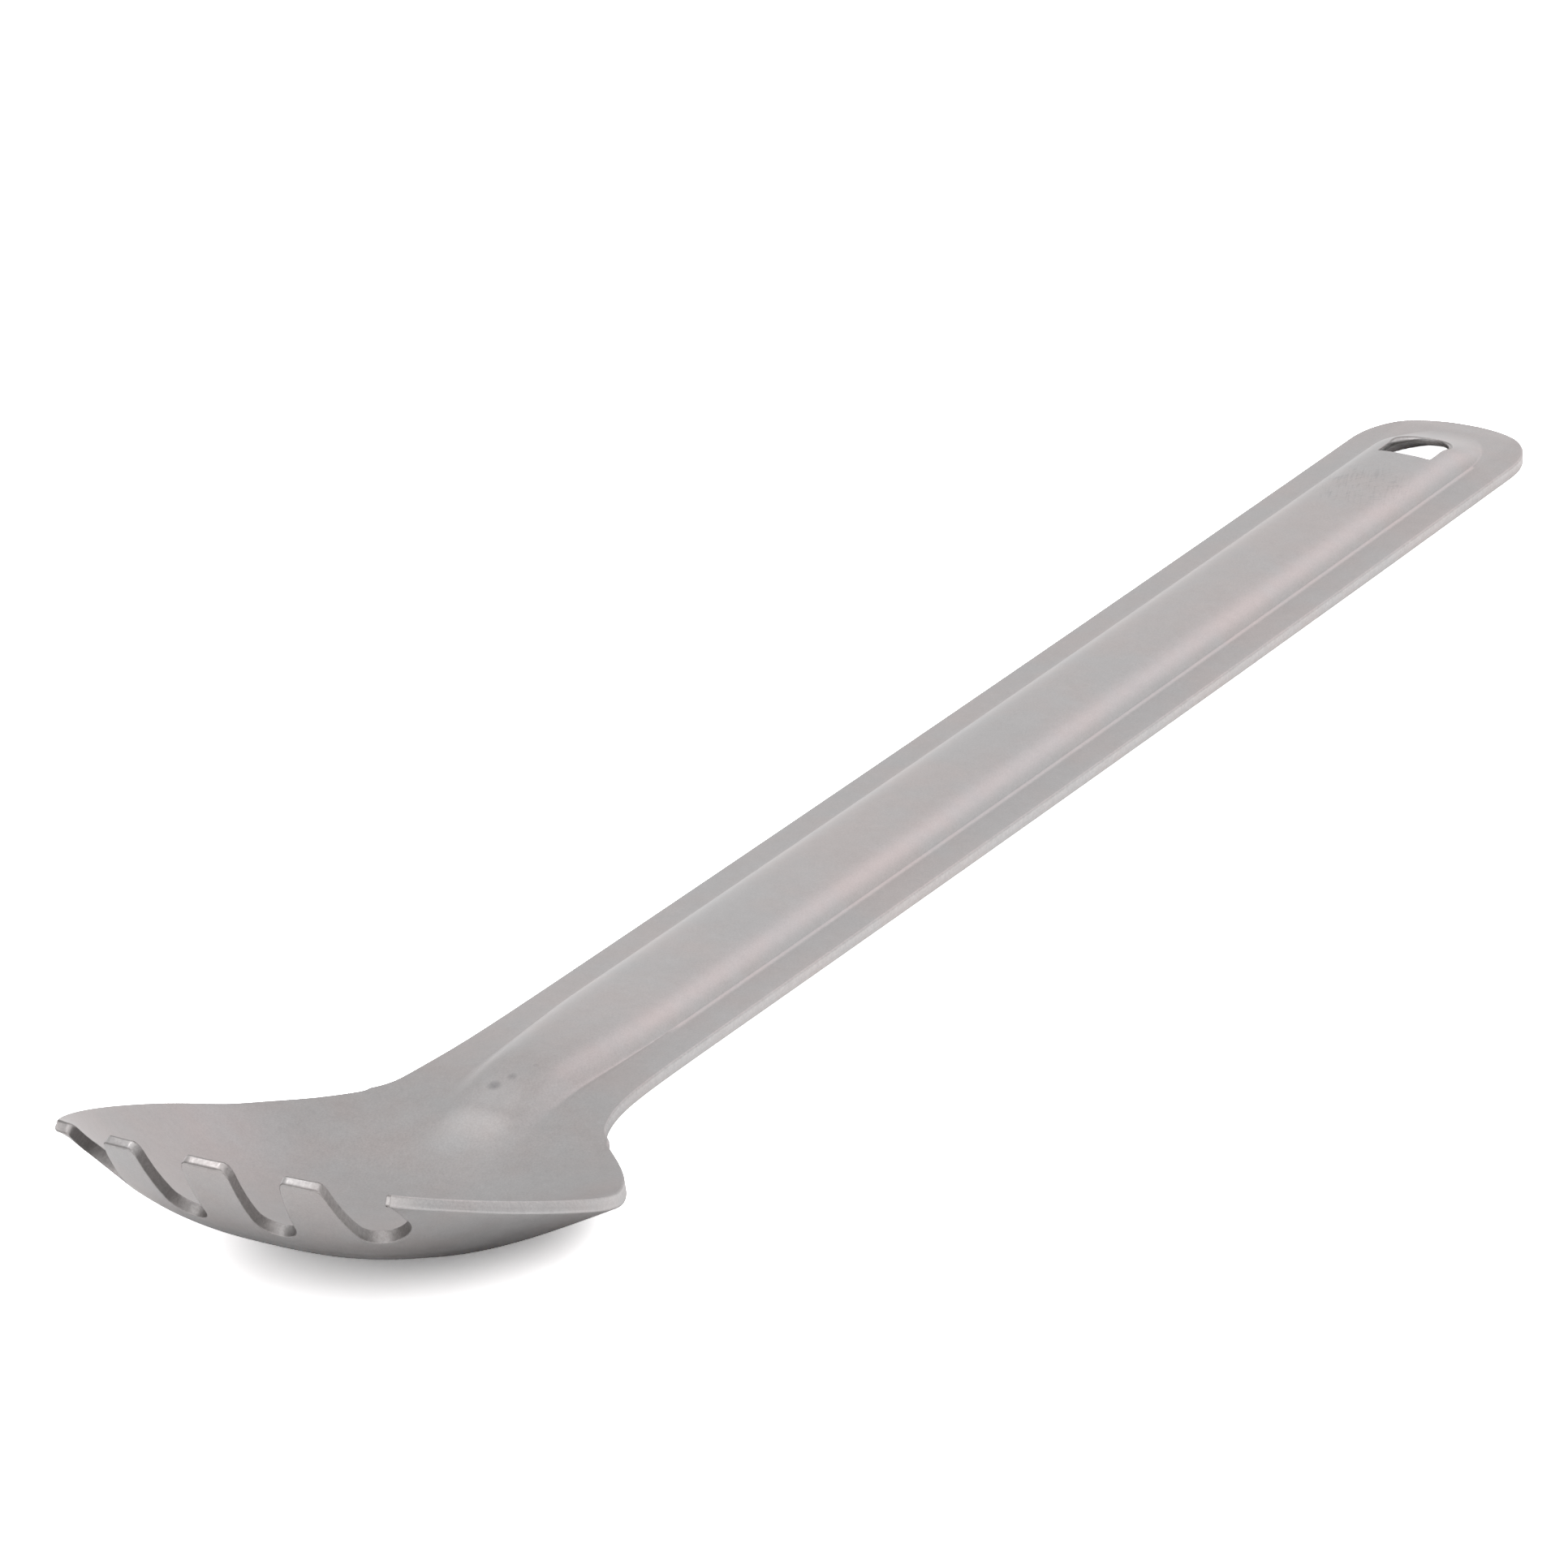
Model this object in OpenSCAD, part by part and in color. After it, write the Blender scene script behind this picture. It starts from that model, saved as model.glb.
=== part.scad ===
// Spork with a long handle, pressed from one sheet of titanium, in millimetres.
// It lies on a table with the bowl up: the bowl's underside and the handle's end touch the table.
// X runs from the tines to the handle's end, and Z is up.
// Inside the functions x is measured from the neck, where the bowl meets the handle.

/* [Bowl] */
// Width of the bowl between the upper edges of its rim
bowl_width = 36.6; // [34:0.1:39]
// Length from the neck to the tip of the middle tine
bowl_length = 42.95; // [40:0.05:46]
// Distance from the neck to the bowl's widest place
widest_x = 20.5; // [19:0.1:22]
// Half axis of the outline's ellipse, from the widest place towards the tines
front_axis = 31.7; // [29:0.1:34]
// Half axis of the outline's ellipse, from the widest place towards the handle
back_axis = 21.8; // [21:0.1:24]
// Radius of the arc that the tips of the tines lie on, in plan
tip_radius = 46; // [38:0.5:60]
// Depth of the bowl under its rim
bowl_depth = 6.45; // [4:0.05:8]
// Distance from the neck to the deepest place under the rim
deepest_x = 25; // [22:0.1:28]
// Length over which the bowl rises from its deepest place towards the neck
back_length = 22.5; // [18:0.1:25]
// Rise of the rim from the neck to the tips
rim_rise = 15.9; // [12:0.05:19]
// Drop of the rim's line under the neck, if the line ran on to it
rim_low = 3.9; // [3:0.05:5]

/* [Handle] */
// Length from the neck to the handle's end
handle_length = 175.5; // [150:0.5:200]
// Width of the handle
handle_width = 15.9; // [14.5:0.1:18]
// Extra half width where the handle meets the neck
neck_flare = 0.9; // [0.3:0.05:1.5]
// Length over which that extra width fades along the handle
flare_length = 5.5; // [3:0.1:9]
// Length over which the handle's outline fades into the bowl
outline_fade = 6; // [5:0.1:8]
// Length of the rounded end of the handle
end_length = 8.6; // [6:0.1:12]
// Fall of the handle from the neck to its end, if it ran straight
handle_fall = 4.25; // [3.5:0.01:5]
// Lift of the handle's end by the handle's bow
handle_bow = 1.41; // [0.5:0.01:2]
// Depth of the low place in front of the neck
neck_dip = 0.8; // [0.3:0.05:1.2]
// Distance of that low place from the neck
neck_dip_x = 4; // [3:0.1:5]
// Length over which that low place fades
neck_dip_length = 4; // [3:0.1:5]
// Length over which the bowl's rim line bends into the handle's line
line_blend = 0.25; // [0.15:0.01:0.6]

/* [Sheet] */
// Thickness of the sheet
sheet_t = 1.1; // [0.8:0.05:1.4]
// Thickness of the sheet at the tips of the tines
tip_t = 0.9; // [0.6:0.05:1.1]
// Length from the tips over which the sheet reaches its full thickness
thin_length = 14; // [8:0.5:20]

/* [Rib] */
// Width of the raised rib at its foot
rib_width = 9.8; // [9:0.1:12]
// Height of the rib over the flanges beside it
rib_height = 1.6; // [0.8:0.05:1.8]
// Height by which the flanges beside the rib fall to the handle's edges
flange_fall = 0.15; // [0.05:0.05:0.4]
// Reach of the rib's nose from the neck into the bowl
nose_reach = 9; // [5:0.5:11]
// Distance from the neck at which the rib has its full height
rib_full_x = 6; // [3:0.5:10]
// Distance from the rib's end to the handle's end
rib_end_gap = 2.8; // [2.5:0.1:6]
// Length over which the rib's height fades at its end
rib_run_out = 12; // [4:0.5:16]
// Length over which the rib's outline rounds off before its end
rib_end_length = 8; // [5:0.5:12]

/* [Tines] */
// Distance from the bowl's middle line to the middle of an inner slot
inner_slot_y = 3.7; // [3.5:0.05:4]
// Distance from the bowl's middle line to the middle of an outer slot
outer_slot_y = 11.35; // [10.8:0.05:11.6]
// Width of an inner slot at its root
inner_slot_width = 3.3; // [2.8:0.05:3.6]
// Width of an outer slot at its root
outer_slot_width = 3.8; // [3:0.05:4]
// Extra width that a slot has at the tips of the tines
slot_splay = 0.4; // [0.1:0.05:0.6]
// Depth of the two inner slots from the tips, in plan
inner_slot_depth = 4.95; // [3.5:0.05:8]
// Depth of the two outer slots from the tips, in plan
outer_slot_depth = 5.85; // [4:0.05:8]

/* [Hang hole] */
// Width of the hang hole
hole_width = 5; // [3:0.1:6.5]
// Length of the hang hole, from its straight edge to the top of its arch
hole_length = 6.4; // [5:0.1:8]
// Distance from the top of the hole's arch to the handle's end
hole_end_gap = 7.7; // [6:0.1:12]

/* [Hidden] */

// How far the cutters reach through the sheet on either side
overrun = 7;
// Step along the length at which slopes are measured
probe = 0.04;
// Width of the flat that is left where the rounded end closes
end_flat = 0.5;

// Curve powers of the outline, the handle's end and the bowl's floor
outline_power = 10;
end_power = 2.3;
front_power = 4.15;
back_power = 1.7;
side_power_tips = 3;
side_power_neck = 1.9;
// Curve powers of the rib: across its top, at its steep foot, and at its foot in the bowl
rib_power = 2.8;
foot_power = 0.5;
nose_power = 1.8;

// Cross lines, as shares of the half width in the bowl
bowl_shares = [0, 0.14, 0.28, 0.41, 0.53, 0.63, 0.72, 0.8, 0.87, 0.93, 0.97, 1];
// Cross lines on the handle: over the rib, closer together towards its foot, and over the flange
rib_shares = [0, 0.3, 0.55, 0.7, 0.8, 0.88, 0.94, 0.98, 1];
flange_shares = [0.34, 0.67, 1];

// Counts of cross sections: tines, bowl, nose of the rib, handle and rounded end
tine_rows = 20;
bowl_rows = 16;
nose_rows = 20;
handle_rows = 22;
end_rows = 14;
cutter_faces = 64;

bowl_half = bowl_width / 2;
handle_half = handle_width / 2;
rib_half = rib_width / 2;
rib_end = handle_length - rib_end_gap;
end_start = handle_length - end_length;
// Distance from the neck, into the bowl, over which the flare still widens
flare_reach = flare_length * 0.55;
// The rib under the sheet is narrower, because the sheet bends round it
rib_inset = sheet_t * 0.6;
// Share of its width that the rib loses in the bowl
nose_taper_share = 0.15;

function clamp(u) = max(0, min(1, u));
function smooth(u) = let (c = clamp(u)) c * c * (3 - 2 * c);
function mix(a, b, share) = a + (b - a) * share;

// Half width of the outline: two quarter ellipses for the bowl, blended with the handle's outline
function bowl_outline(x) =
    let (u = x < -widest_x ? (x + widest_x) / front_axis : (x + widest_x) / back_axis)
    bowl_half * sqrt(max(0, 1 - u * u));
function handle_outline(x) =
    let (flare_x = max(x, -flare_reach))
    (handle_half + neck_flare * exp(-flare_x / flare_length))
    * exp(min(0, x + flare_reach) / outline_fade);
function end_outline(x) =
    pow(1 - pow(clamp((x - end_start) / end_length), end_power), 1 / end_power);
// Half width without the rounding of the handle's end, and with it
function open_width(x) =
    let (b = bowl_outline(x), h = handle_outline(x), wide = max(b, h), narrow = min(b, h))
    wide * pow(1 + pow(narrow / wide, outline_power), 1 / outline_power);
function half_width(x) = open_width(x) * end_outline(x);

// Height of the sheet's own line: the rim's slanting line, bent into the handle's bowed line
function rim_line(x) = -rim_low - rim_rise * x / bowl_length;
function handle_line(x) =
    let (u = x / handle_length, d = (x + neck_dip_x) / neck_dip_length)
    handle_bow * u * u - handle_fall * u - neck_dip * exp(-d * d);
function sheet_line(x) =
    let (a = rim_line(x), b = handle_line(x))
    max(a, b) + line_blend * ln(1 + exp(-abs(a - b) / line_blend));

// Distance by which the arc of the tips falls back from the middle tine
function tip_arc(y) = tip_radius - sqrt(tip_radius * tip_radius - y * y);

// Share of the bowl's full depth along its length: nothing at the tips and at the neck
function depth_along(x, y) =
    x < -deepest_x
    ? 1 - pow((-deepest_x - x) / (bowl_length - tip_arc(y) - deepest_x), front_power)
    : pow(max(0, 1 - pow((x + deepest_x) / back_length, 2)), back_power);
// The floor is flat across and turns up to the rim by this power of the share of the half width
function side_power(x) = mix(side_power_neck, side_power_tips, clamp(-x / bowl_length));
function depth_across(x, y) = 1 - pow(abs(y) / open_width(x), side_power(x));
function sheet_z(x, y) = sheet_line(x) - bowl_depth * depth_along(x, y) * depth_across(x, y);

// Softness of the rib's foot: nothing on the handle, full in the bowl
function nose_share(x) = smooth((nose_reach - x) / (2 * nose_reach));
// Half width of the rib, with its rounded end
function rib_outline(x, half) =
    let (e = clamp((x - rib_end + rib_half - half + rib_end_length) / rib_end_length))
    half * (1 - nose_taper_share * nose_share(x)) * sqrt(1 - e * e);
// Height of the rib over the sheet, inset by the given width on the underside
function rib_z(x, y, inset) =
    let (
        half = rib_half - inset,
        outline = rib_outline(x, half),
        v = abs(y) < outline ? abs(y) / outline : 1,
        pillow = pow(1 - pow(v, rib_power), mix(foot_power, nose_power, nose_share(x))),
        run = smooth((x + nose_reach) / (nose_reach + rib_full_x)) * smooth((rib_end - x) / rib_run_out),
        edge = clamp((handle_half - abs(y)) / (handle_half - half)),
        level = smooth((x + nose_reach / 2) / nose_reach) * smooth((handle_length - x) / rib_end_gap)
    )
    rib_height * pillow * run + flange_fall * edge * level;

function thickness(x) = mix(tip_t, sheet_t, smooth((x + bowl_length) / thin_length));

// Upright direction of the sheet at a point
function slope_x(x, y) = (sheet_z(x + probe, y) - sheet_z(x - probe, y)) / (2 * probe);
function slope_y(x, y) = (sheet_z(x, y + probe) - sheet_z(x, y - probe)) / (2 * probe);
function upright(x, y) =
    let (v = [-slope_x(x, y), -slope_y(x, y), 1])
    v / norm(v);
function upper_point(x, y) = [x, y, sheet_z(x, y) + rib_z(x, y, 0)];
function under_point(x, y) =
    [x, y, sheet_z(x, y) + rib_z(x, y, rib_inset)] - thickness(x) * upright(x, y);

// Cross sections from the tips to the handle's end, closer together where the form changes fast
function zone(from, to, count, power = 1) =
    [for (i = [0:count - 1]) mix(from, to, pow(i / count, power))];
// Share of the rounded end's length at which its outline has narrowed to the small flat
flat_share = pow(1 - pow(end_flat / handle_width, end_power), 1 / end_power);
rows = concat(
    zone(-bowl_length, -deepest_x, tine_rows),
    zone(-deepest_x, -nose_reach, bowl_rows),
    zone(-nose_reach, nose_reach, nose_rows),
    zone(nose_reach, rib_end - rib_end_length, handle_rows, 1.6),
    [for (i = [0:end_rows - 1]) mix(rib_end - rib_end_length, handle_length, sin(90 * i / end_rows))],
    [end_start + end_length * flat_share]
);

// Cross lines, from the handle's left edge to its right edge
handle_lines = concat(
    [for (s = rib_shares) s * rib_half],
    [for (s = flange_shares) mix(rib_half, handle_half, s)]
);
lines = len(bowl_shares);
columns = [for (j = [-(lines - 1):lines - 1]) j];
function line_y(x, j) =
    let (
        k = abs(j),
        half = half_width(x),
        on_bowl = bowl_shares[k] * half,
        on_handle = handle_lines[k] * half / handle_half,
        y = mix(on_bowl, on_handle, smooth((x + nose_reach) / (nose_reach + rib_full_x)))
    )
    sign(j) * y;

// Near the tips the cross sections bend with the arc that the tips lie on
function bend(x) = smooth((-widest_x - x) / (bowl_length - widest_x));
function bent_x(x, j, passes) =
    passes == 0 ? x : x + bend(x) * tip_arc(line_y(bent_x(x, j, passes - 1), j));
places = [for (x = rows, j = columns) let (bx = bent_x(x, j, 3)) [bx, line_y(bx, j)]];
upper = [for (p = places) upper_point(p[0], p[1])];
under = [for (p = places) under_point(p[0], p[1])];

// The part stands on its lowest point, with its middle over the origin
low_z = min([for (p = under) p[2]]);
mid_x = (min([for (p = under) p[0]]) + max([for (p = upper) p[0]])) / 2;

// Closed skin: the upper face, the underside and the narrow edge between them
module blank() {
    n = len(places);
    across = len(columns);
    last_row = len(rows) - 1;
    last_column = across - 1;
    // Each cell is split by the diagonal that mirrors the cell on the other side
    function cell(a, b, c, d, flip) = flip ? [[a, b, d], [b, c, d]] : [[a, b, c], [a, c, d]];
    function at(i, j) = i * across + j;
    polyhedron(points = concat(upper, under), faces = [
        for (i = [0:last_row - 1], j = [0:last_column - 1])
            let (a = at(i, j), b = at(i, j + 1), c = at(i + 1, j + 1), d = at(i + 1, j))
            let (flip = j < lines - 1)
            each concat(cell(a, b, c, d, flip), cell(n + d, n + c, n + b, n + a, flip)),
        for (i = [0:last_row - 1])
            let (a = at(i, 0), b = at(i + 1, 0), c = at(i, last_column), d = at(i + 1, last_column))
            each concat(cell(a, b, n + b, n + a, false), cell(n + c, n + d, d, c, true)),
        for (j = [0:last_column - 1])
            let (a = at(0, j), b = at(0, j + 1), c = at(last_row, j), d = at(last_row, j + 1))
            each concat(cell(b, a, n + a, n + b, false), cell(c, d, n + d, n + c, false))
    ]);
}

// A slot stands square to the sheet at its round root and widens towards the tips
module slot(y, width, depth) {
    x = -bowl_length + tip_arc(y) + depth;
    tilt = -atan(slope_x(x, y));
    root_r = width / 2;
    reach = 2 * depth;
    mouth_half = root_r + slot_splay / 2 * reach / depth;
    translate([x, y, sheet_z(x, y)])
        rotate([0, tilt, 0])
            translate([-root_r, 0, -overrun])
                linear_extrude(height = 2 * overrun)
                    union() {
                        circle(r = root_r, $fn = cutter_faces);
                        polygon([
                            [0, -root_r], [0, root_r],
                            [-reach, mouth_half], [-reach, -mouth_half]
                        ]);
                    }
}
module slots() {
    for (side = [-1, 1]) {
        slot(side * inner_slot_y, inner_slot_width, inner_slot_depth);
        slot(side * outer_slot_y, outer_slot_width, outer_slot_depth);
    }
}

// Arch with its straight edge towards the bowl
module hang_hole() {
    arch_r = hole_width / 2;
    arch_x = handle_length - hole_end_gap - arch_r;
    translate([arch_x, 0, handle_line(arch_x) - overrun]) {
        cylinder(r = arch_r, h = 2 * overrun, $fn = cutter_faces);
        translate([arch_r - hole_length, -arch_r, 0])
            cube([hole_length - arch_r, hole_width, 2 * overrun]);
    }
}

module spork_body() {
    color("darkgray")
        translate([-mid_x, 0, -low_z])
            difference() {
                blank();
                slots();
                hang_hole();
            }
}

spork_body();
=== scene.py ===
import bpy
import math
import numpy as np
from mathutils import Matrix, Vector


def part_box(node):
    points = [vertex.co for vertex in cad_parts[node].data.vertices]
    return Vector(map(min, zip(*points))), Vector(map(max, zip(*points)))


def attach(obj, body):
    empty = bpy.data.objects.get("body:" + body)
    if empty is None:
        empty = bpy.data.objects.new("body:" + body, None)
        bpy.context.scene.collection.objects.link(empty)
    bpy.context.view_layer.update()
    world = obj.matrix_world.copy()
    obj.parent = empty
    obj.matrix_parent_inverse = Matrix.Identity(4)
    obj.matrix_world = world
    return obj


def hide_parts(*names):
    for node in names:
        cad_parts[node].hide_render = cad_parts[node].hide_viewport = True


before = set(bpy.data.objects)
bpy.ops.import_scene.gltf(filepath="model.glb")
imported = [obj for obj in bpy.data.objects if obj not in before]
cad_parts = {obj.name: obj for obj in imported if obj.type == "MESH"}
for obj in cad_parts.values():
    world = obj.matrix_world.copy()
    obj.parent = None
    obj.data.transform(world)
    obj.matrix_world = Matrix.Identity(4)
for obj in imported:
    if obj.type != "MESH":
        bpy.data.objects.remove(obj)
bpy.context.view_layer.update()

mm = 0.001
tiny = 1e-6  # keeps a root or a division away from zero

# The camera looks from beyond the tines, from one side and a little from above.
camera = {
    "place": (-0.699028, -0.362381, 0.328271),  # metres, in the part's frame
    "heading": 28.110,  # degrees from +X towards +Y
    "downTilt": 22.274,
    "roll": 0.102,
    "lens": 241.49,
    "sensor": 36.0,
    "farthest": 20,  # metres
}


def makeCamera(c):
    # Forward from heading and tilt, right level with the floor, then both turned by the roll.
    heading, tilt, roll = (math.radians(c[k]) for k in ("heading", "downTilt", "roll"))
    forward = Vector((math.cos(heading) * math.cos(tilt), math.sin(heading) * math.cos(tilt),
                      -math.sin(tilt)))
    level = Vector((math.sin(heading), -math.cos(heading), 0))
    right = level * math.cos(roll) + level.cross(forward) * math.sin(roll)
    up = right.cross(forward)
    data = bpy.data.cameras.new("camera")
    data.lens = c["lens"]
    data.sensor_width = c["sensor"]
    data.sensor_fit = "HORIZONTAL"
    data.clip_end = c["farthest"]
    eye = bpy.data.objects.new("camera", data)
    bpy.context.scene.collection.objects.link(eye)
    turned = Matrix((right, up, -forward)).transposed().to_4x4()
    eye.matrix_world = Matrix.Translation(Vector(c["place"])) @ turned
    bpy.context.scene.camera = eye


makeCamera(camera)
print("camera set")

# Sizes of the spork in millimetres, with x measured from the neck. The surface that they give keeps
# within a millimetre of the solid's, and departs most at the slots' outer walls and the hang hole.
spork = {
    # the bowl: its half ellipses, the arc of its tips, its depth and the slanting line of its rim
    "bowlWidth": 36.6, "bowlLength": 42.95, "widestX": 20.5, "frontAxis": 31.7, "backAxis": 21.8,
    "axisBlend": 14.0, "tipRadius": 46.0, "bowlDepth": 6.45, "deepestX": 25.0, "backLength": 22.5,
    "rimRise": 15.9, "rimLow": 3.9, "frontPower": 4.15, "backPower": 1.7,
    "sidePowerTips": 3.0, "sidePowerNeck": 1.9,
    # the handle: its outline and rounded end, then its line seen from the side
    "handleLength": 175.5, "handleWidth": 15.9, "neckFlare": 1.14, "flareLength": 3.9,
    "flareShare": 0.55, "outlineFade": 5.9, "outlinePower": 11.5, "endLength": 8.6, "endPower": 2.3,
    "handleFall": 4.25, "handleBow": 1.41, "neckDip": 0.82, "neckDipX": 4.6, "neckDipLength": 5.0,
    "lineBlend": 0.34,
    # the sheet's thickness, behind the tips and at them
    "sheetT": 1.1, "tipT": 0.9, "thinLength": 14.0,
    # the rib and the flanges beside it
    "ribWidth": 9.8, "ribHeight": 1.6, "ribPower": 3.4, "footPower": 0.75, "nosePower": 1.8,
    "ribInsetShare": 0.6, "flangeFall": 0.15, "noseReach": 9.0, "ribFullX": 6.0, "noseTaper": 0.15,
    "softTo": 20.0, "ribEndGap": 2.8, "ribRunOut": 9.0, "ribEndLength": 8.0, "ribEndPower": 2.0,
    # slots: middle, width and depth at the root, and the walls' places at the tips
    "innerSlot": {"y": 3.7, "width": 3.3, "depth": 4.95, "mouth": (1.95, 6.0)},
    "farSlot": {"y": 11.15, "width": 3.5, "depth": 5.85, "mouth": (8.9, 12.35)},
    "nearSlot": {"y": 11.45, "width": 3.9, "depth": 5.85, "mouth": (9.2, 13.7)},
    # radii of the corners of the tines, the far horn and the near horn, then of the rounded edges as
    # shares of the thickness
    "tineCorner": 0.5, "hornCorner": 0.35, "pointCorner": 0.12,
    "edgeShares": {"rim": 0.18, "slot": 0.07, "tip": 0.26},
    # the hang hole: its arch, its edges, the lip on its shoulders and the thinning round it
    "holeWidth": 5.0, "holeLength": 6.4, "holeEndGap": 7.7, "holeCorner": 0.12, "holeArch": 3.3,
    "holeEdge": 0.14, "holeUnder": 0.1, "holeLip": 0.55, "lipFrom": 0.8, "lipLength": 2.0,
    "lipSide": 0.8, "holeThin": 0.55, "thinReach": 1.2,
}

# Kinds of cut edge, as numbers that the finish reads.
edgeKinds = {"rim": 1.0, "slot": 2.0, "tip": 3.0, "hole": 4.0}

# The sheet is one grid of cells. Its rows run across and lie in zones along the length. Its columns run
# along, from the tips of the tines to the handle's end.
grid = {
    # rows of each zone, and where on the sides the zones begin
    "tineRows": 20, "blendRows": 26, "bowlRows": 58, "noseRows": 80, "handleRows": 148, "endRows": 90,
    "hornFrom": -40.7, "blendFrom": -35.0, "blendTo": -27.0, "endFrom": 156.0,
    # cells across a horn, a slot and a tine
    "hornCells": 6, "slotCells": 10, "tineCells": 10,
    # cells across the handle: from the middle over the rib's crown, down its wall and over the flange
    "crownCells": 24, "wallCells": 11, "flangeCells": 6, "crownShare": 0.8,
    "wallCrowding": 1.6,  # more than 1 brings the columns closer at the rib's foot
    # the hang hole: cells across, rows before it and beside it, and rows round it that give way
    "holeCells": 28, "holeRow": 22, "holeSideRows": 31, "holeMargin": 12,
    "finer": 8,  # steps of an outline between two nodes of the grid
    "flatFrom": 0.08,  # share of a cut wall's height at which it is as flat as its middle
    "bendSteps": 5,  # steps of a rounded edge
    "edgeReach": 2,  # nodes on each side over which an edge's radius is averaged
    "passes": 3000,  # rounds in which the grid is fitted between the outlines
    "hornTries": 40,  # rounds in which the horn's tip is found
    "probe": 0.02,  # half of the step over which a slope is taken
    # points of an outline's lines, before the grid's nodes are shared out over them
    "straightPoints": 80, "arcPoints": 20, "cornerSteps": 32, "rootPoints": 60, "sidePoints": 4000,
    "endPoints": 400,
    "cornerRoom": 1.02,  # points nearer to a corner than its arc's reach times this are left out
}


def smooth(u):
    # Cubic step from 0 to 1.
    u = np.clip(u, 0, 1)
    return u * u * (3 - 2 * u)


def mix(a, b, share):
    # From a to b by a share.
    return a + (b - a) * share


def openWidth(x):
    # Half width: two quarter ellipses for the bowl, blended with the handle's flared outline.
    p = spork
    axis = mix(p["frontAxis"], p["backAxis"], smooth((x + p["widestX"]) / p["axisBlend"] + 0.5))
    bowl = p["bowlWidth"] / 2 * np.sqrt(np.maximum(tiny, 1 - ((x + p["widestX"]) / axis) ** 2))
    reach = p["flareLength"] * p["flareShare"]
    handle = p["handleWidth"] / 2 + p["neckFlare"] * np.exp(-np.maximum(x, -reach) / p["flareLength"])
    handle = handle * np.exp(np.minimum(0, x + reach) / p["outlineFade"])
    power = p["outlinePower"]
    return (bowl ** power + handle ** power) ** (1 / power)


def sheetLine(x):
    # Side view of the sheet: the rim's slanting line, softly joined to the handle's bowed line.
    p = spork
    rim = -p["rimLow"] - p["rimRise"] * x / p["bowlLength"]
    u = x / p["handleLength"]
    dip = p["neckDip"] * np.exp(-((x + p["neckDipX"]) / p["neckDipLength"]) ** 2)
    handle = p["handleBow"] * u * u - p["handleFall"] * u - dip
    soft = np.log1p(np.exp(-np.abs(rim - handle) / p["lineBlend"]))
    return np.maximum(rim, handle) + p["lineBlend"] * soft


def tipX(y):
    # The tips lie on an arc about a point on the middle line.
    r = spork["tipRadius"]
    return -spork["bowlLength"] + r - np.sqrt(r * r - np.minimum(y * y, r * r / 2))


def sheetZ(x, y):
    # The side view's line minus the bowl: a depth along the length times a flat-bottomed curve across.
    p = spork
    front = np.maximum(0, (-p["deepestX"] - x) / (-p["deepestX"] - tipX(y))) ** p["frontPower"]
    back = 1 - np.maximum(0, 1 - ((x + p["deepestX"]) / p["backLength"]) ** 2) ** p["backPower"]
    along = 1 - np.where(x < -p["deepestX"], front, back)
    power = mix(p["sidePowerNeck"], p["sidePowerTips"], np.clip(-x / p["bowlLength"], 0, 1))
    across = 1 - (np.abs(y) / openWidth(x)) ** power
    return sheetLine(x) - p["bowlDepth"] * along * across


def ribZ(x, y, inset):
    # A pillow: steepest at its foot, arched over the middle, fading into the bowl and before the end.
    # Beside it the flanges fall a little towards the edges.
    p = spork
    half = p["ribWidth"] / 2 - inset
    ribEnd = p["handleLength"] - p["ribEndGap"]
    nose = smooth((x + p["noseReach"]) / (p["noseReach"] + p["ribFullX"]))
    soft = smooth((p["softTo"] - x) / (p["softTo"] + p["noseReach"]))
    end = np.clip((x - ribEnd + inset + p["ribEndLength"]) / p["ribEndLength"], 0, 1) ** p["ribEndPower"]
    outline = half * (1 - p["noseTaper"] * soft) * (1 - end) ** (1 / p["ribEndPower"])
    v = np.minimum(1, np.abs(y) / np.maximum(outline, tiny))
    pillow = (1 - v ** p["ribPower"]) ** mix(p["footPower"], p["nosePower"], soft)
    run = nose * smooth((ribEnd - x) / p["ribRunOut"])
    fall = np.clip((p["handleWidth"] / 2 - np.abs(y)) / (p["handleWidth"] / 2 - half), 0, 1)
    fall = fall * smooth((x + p["noseReach"] / 2) / p["noseReach"])
    fall = fall * smooth((p["handleLength"] - x) / p["ribEndGap"])
    return p["ribHeight"] * pillow * run + p["flangeFall"] * fall


def sheetT(x):
    # Thickness: thin at the tips, full behind them.
    p = spork
    return mix(p["tipT"], p["sheetT"], smooth((x + p["bowlLength"]) / p["thinLength"]))


def holeSpan():
    # Places along the handle of the hang hole's straight edge and of its arch's beginning.
    p = spork
    top = p["handleLength"] - p["holeEndGap"]
    return top - p["holeLength"], top - p["holeArch"]


def holeThinning(x, y):
    # What the underside is dished round the hang hole: full at the hole, none at its reach, in shares
    # of the hole's own half length and half width.
    p = spork
    middle = p["handleLength"] - p["holeEndGap"] - p["holeLength"] / 2
    gap = np.hypot((x - middle) / p["holeLength"] * 2, y / p["holeWidth"] * 2) - 1
    return p["holeThin"] * smooth(1 - gap / p["thinReach"])


def holeRadius(x, y):
    # Upper edge of the hang hole: sharp, with a wide pressed lip on the arch's two shoulders.
    p = spork
    shoulder = smooth((x - holeSpan()[1] + p["lipFrom"]) / p["lipLength"])
    shoulder = shoulder * smooth((np.abs(y) - p["lipSide"]) / p["lipLength"])
    return mix(p["holeEdge"], p["holeLip"], shoulder)


def unit(v):
    # Vectors of length 1 in the same directions.
    return v / np.linalg.norm(v, axis=-1, keepdims=True)


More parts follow.
